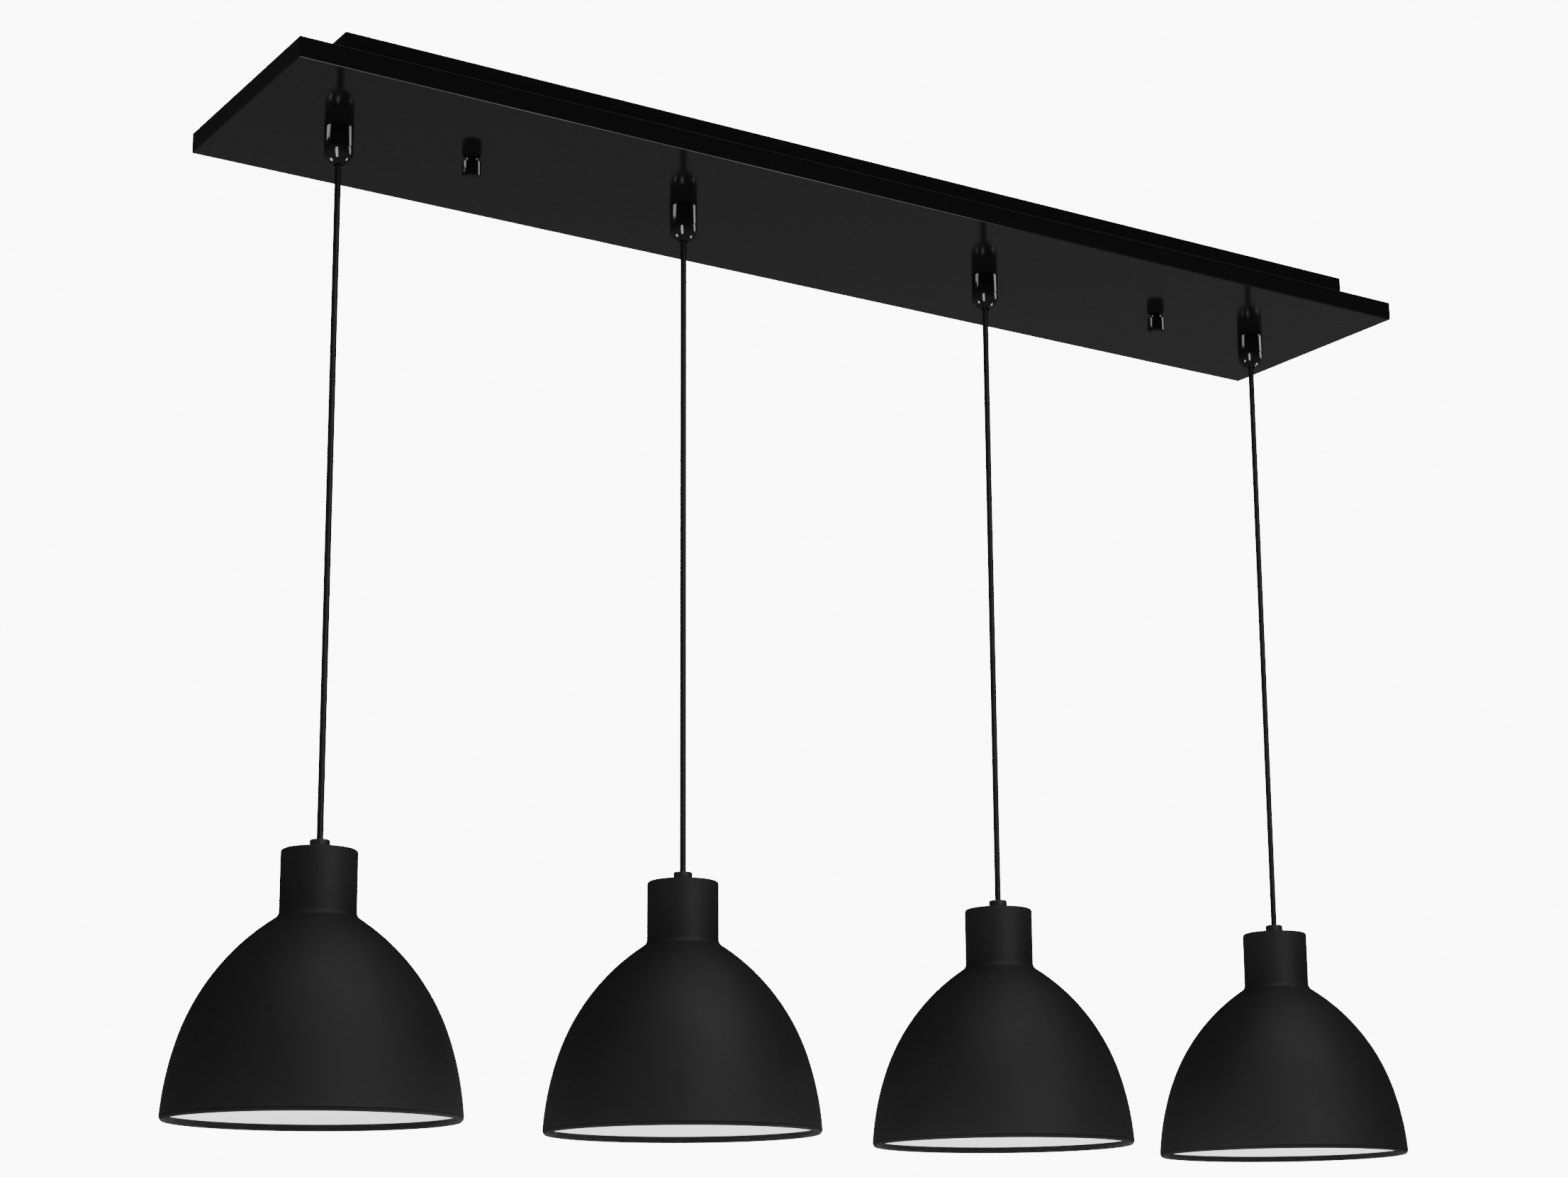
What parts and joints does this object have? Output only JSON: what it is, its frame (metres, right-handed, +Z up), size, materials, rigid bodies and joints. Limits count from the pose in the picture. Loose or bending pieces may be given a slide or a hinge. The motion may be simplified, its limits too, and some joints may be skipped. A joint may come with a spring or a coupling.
{
  "type": "linear pendant lamp",
  "caption": "Linear ceiling lamp for a pool table: a long flat canopy with a row of dome shades hanging on straight cords.",
  "frame": {"origin": "centre of the ceiling face, on top of the mounting pan", "axes": "+Z up into the ceiling, X along the row of shades, -Y the side the lamp is seen from"},
  "size_m": [1.055, 0.2, 0.737],
  "materials": {
    "canopy_black": "satin black powder coat",
    "gloss_black": "gloss black enamel",
    "shade_black": "matt black powder coat outside, matt white inside",
    "cord_black": "smooth black round cord",
    "bushing_black": "black nylon",
    "seal_rubber": "soft black rubber",
    "phenolic_black": "moulded black phenolic",
    "terminal_white": "moulded white nylon",
    "plated_steel": "bright zinc plate",
    "brass": "plain brass",
    "base_metal": "stamped aluminium",
    "bulb_glass": "frosted white glass"
  },
  "bodies": {
    "canopy": {"canopy_tray": "canopy_black", "mounting_pan": "canopy_black", "canopy_studs": "plated_steel", "grip_nipples": "brass", "grip_locknuts": "plated_steel", "grip_sleeves": "gloss_black", "grip_seals": "seal_rubber", "inner_leads": "cord_black", "terminal_block": "terminal_white", "pan_screws": "plated_steel"},
    "thumb_nut_left": {"thumb_nut_left": "gloss_black"},
    "thumb_nut_right": {"thumb_nut_right": "gloss_black"},
    "grip_cap_1": {"grip_cap_1": "gloss_black"},
    "cord_1": {"cord_1": "cord_black"},
    "shade_1": {"shade_1": "shade_black", "cord_bushing_1": "bushing_black", "shade_nipple_1": "brass", "shade_nut_1": "plated_steel", "socket_lead_1": "cord_black", "socket_body_1": "phenolic_black", "socket_shell_1": "brass", "socket_contact_1": "brass"},
    "bulb_1": {"bulb_base_1": "base_metal", "bulb_glass_1": "bulb_glass"},
    "grip_cap_2": {"grip_cap_2": "gloss_black"},
    "cord_2": {"cord_2": "cord_black"},
    "shade_2": {"shade_2": "shade_black", "cord_bushing_2": "bushing_black", "shade_nipple_2": "brass", "shade_nut_2": "plated_steel", "socket_lead_2": "cord_black", "socket_body_2": "phenolic_black", "socket_shell_2": "brass", "socket_contact_2": "brass"},
    "bulb_2": {"bulb_base_2": "base_metal", "bulb_glass_2": "bulb_glass"},
    "grip_cap_3": {"grip_cap_3": "gloss_black"},
    "cord_3": {"cord_3": "cord_black"},
    "shade_3": {"shade_3": "shade_black", "cord_bushing_3": "bushing_black", "shade_nipple_3": "brass", "shade_nut_3": "plated_steel", "socket_lead_3": "cord_black", "socket_body_3": "phenolic_black", "socket_shell_3": "brass", "socket_contact_3": "brass"},
    "bulb_3": {"bulb_base_3": "base_metal", "bulb_glass_3": "bulb_glass"},
    "grip_cap_4": {"grip_cap_4": "gloss_black"},
    "cord_4": {"cord_4": "cord_black"},
    "shade_4": {"shade_4": "shade_black", "cord_bushing_4": "bushing_black", "shade_nipple_4": "brass", "shade_nut_4": "plated_steel", "socket_lead_4": "cord_black", "socket_body_4": "phenolic_black", "socket_shell_4": "brass", "socket_contact_4": "brass"},
    "bulb_4": {"bulb_base_4": "base_metal", "bulb_glass_4": "bulb_glass"}
  },
  "joints": [
    {"name": "thumb_nut_left_turn", "type": "hinge", "parent": "canopy", "child": "thumb_nut_left", "pos_m": [-0.3225, 0, -0.04], "axis": [0, 0, 1], "continuous": true},
    {"name": "thumb_nut_right_turn", "type": "hinge", "parent": "canopy", "child": "thumb_nut_right", "pos_m": [0.3225, 0, -0.04], "axis": [0, 0, 1], "continuous": true},
    {"name": "pendant_1_swing", "type": "hinge", "parent": "canopy", "child": "cord_1", "pos_m": [-0.4275, 0, -0.062], "axis": [1, 0, 0], "range_deg": [-25, 25]},
    {"name": "shade_1_tilt", "type": "hinge", "parent": "cord_1", "child": "shade_1", "pos_m": [-0.4275, 0, -0.5505], "axis": [0, 1, 0], "range_deg": [-10, 10]},
    {"name": "grip_cap_1_turn", "type": "hinge", "parent": "canopy", "child": "grip_cap_1", "pos_m": [-0.4275, 0, -0.055], "axis": [0, 0, 1], "continuous": true},
    {"name": "bulb_1_turn", "type": "hinge", "parent": "shade_1", "child": "bulb_1", "pos_m": [-0.4275, 0, -0.62], "axis": [0, 0, 1], "continuous": true},
    {"name": "pendant_2_swing", "type": "hinge", "parent": "canopy", "child": "cord_2", "pos_m": [-0.1425, 0, -0.062], "axis": [1, 0, 0], "range_deg": [-25, 25]},
    {"name": "shade_2_tilt", "type": "hinge", "parent": "cord_2", "child": "shade_2", "pos_m": [-0.1425, 0, -0.5505], "axis": [0, 1, 0], "range_deg": [-10, 10]},
    {"name": "grip_cap_2_turn", "type": "hinge", "parent": "canopy", "child": "grip_cap_2", "pos_m": [-0.1425, 0, -0.055], "axis": [0, 0, 1], "continuous": true},
    {"name": "bulb_2_turn", "type": "hinge", "parent": "shade_2", "child": "bulb_2", "pos_m": [-0.1425, 0, -0.62], "axis": [0, 0, 1], "continuous": true},
    {"name": "pendant_3_swing", "type": "hinge", "parent": "canopy", "child": "cord_3", "pos_m": [0.1425, 0, -0.062], "axis": [1, 0, 0], "range_deg": [-25, 25]},
    {"name": "shade_3_tilt", "type": "hinge", "parent": "cord_3", "child": "shade_3", "pos_m": [0.1425, 0, -0.5505], "axis": [0, 1, 0], "range_deg": [-10, 10]},
    {"name": "grip_cap_3_turn", "type": "hinge", "parent": "canopy", "child": "grip_cap_3", "pos_m": [0.1425, 0, -0.055], "axis": [0, 0, 1], "continuous": true},
    {"name": "bulb_3_turn", "type": "hinge", "parent": "shade_3", "child": "bulb_3", "pos_m": [0.1425, 0, -0.62], "axis": [0, 0, 1], "continuous": true},
    {"name": "pendant_4_swing", "type": "hinge", "parent": "canopy", "child": "cord_4", "pos_m": [0.4275, 0, -0.062], "axis": [1, 0, 0], "range_deg": [-25, 25]},
    {"name": "shade_4_tilt", "type": "hinge", "parent": "cord_4", "child": "shade_4", "pos_m": [0.4275, 0, -0.5505], "axis": [0, 1, 0], "range_deg": [-10, 10]},
    {"name": "grip_cap_4_turn", "type": "hinge", "parent": "canopy", "child": "grip_cap_4", "pos_m": [0.4275, 0, -0.055], "axis": [0, 0, 1], "continuous": true},
    {"name": "bulb_4_turn", "type": "hinge", "parent": "shade_4", "child": "bulb_4", "pos_m": [0.4275, 0, -0.62], "axis": [0, 0, 1], "continuous": true}
  ]
}
